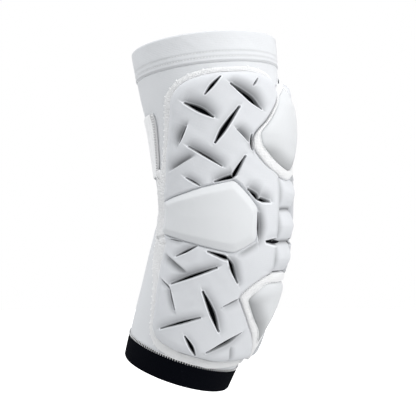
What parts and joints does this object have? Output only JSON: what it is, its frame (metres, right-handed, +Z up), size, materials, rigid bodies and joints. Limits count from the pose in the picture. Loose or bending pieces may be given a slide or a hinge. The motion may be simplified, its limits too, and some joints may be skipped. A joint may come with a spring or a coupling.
{
  "type": "padded arm guard sleeve for field sports",
  "caption": "White elbow-length arm pad: stretch sleeve with slit foam padding round the outside of the elbow, smooth bound panels, side caps and a black wrist band.",
  "frame": {"origin": "centre of the elbow on the arm's axis, where the arm goes through", "axes": "+Z up the arm towards the shoulder, +X out of the point of the elbow, -X the crook, Y across; the pad is the same on both sides of Y = 0"},
  "size_m": [0.1364, 0.131, 0.2739],
  "materials": {
    "sleeve_cloth": "cool white knit jersey",
    "cuff_cloth": "cool white knit hem, twin stitched",
    "black_elastic": "black ribbed elastic",
    "ribbed_elastic": "white ribbed elastic",
    "black_liner": "black open knit",
    "pad_cloth": "cool white smooth stretch cloth on foam",
    "panel_cloth": "cool white smooth stretch cloth on thick foam",
    "binding_tape": "white stitched tape",
    "moulded_cap": "matt white moulded cover"
  },
  "bodies": {
    "root": {"sleeve": "sleeve_cloth", "top_cuff": "cuff_cloth", "wrist_band": "black_elastic", "rib_panel": "ribbed_elastic", "liner_near": "black_liner", "liner_far": "black_liner", "slit_pad_near": "pad_cloth", "slit_pad_far": "pad_cloth", "border_near": "binding_tape", "border_far": "binding_tape", "cap_near": "moulded_cap", "cap_far": "moulded_cap", "elbow_strip": "pad_cloth", "upper_panel": "panel_cloth", "upper_binding": "binding_tape", "lower_panel": "panel_cloth", "lower_binding": "binding_tape"}
  },
  "joints": []
}
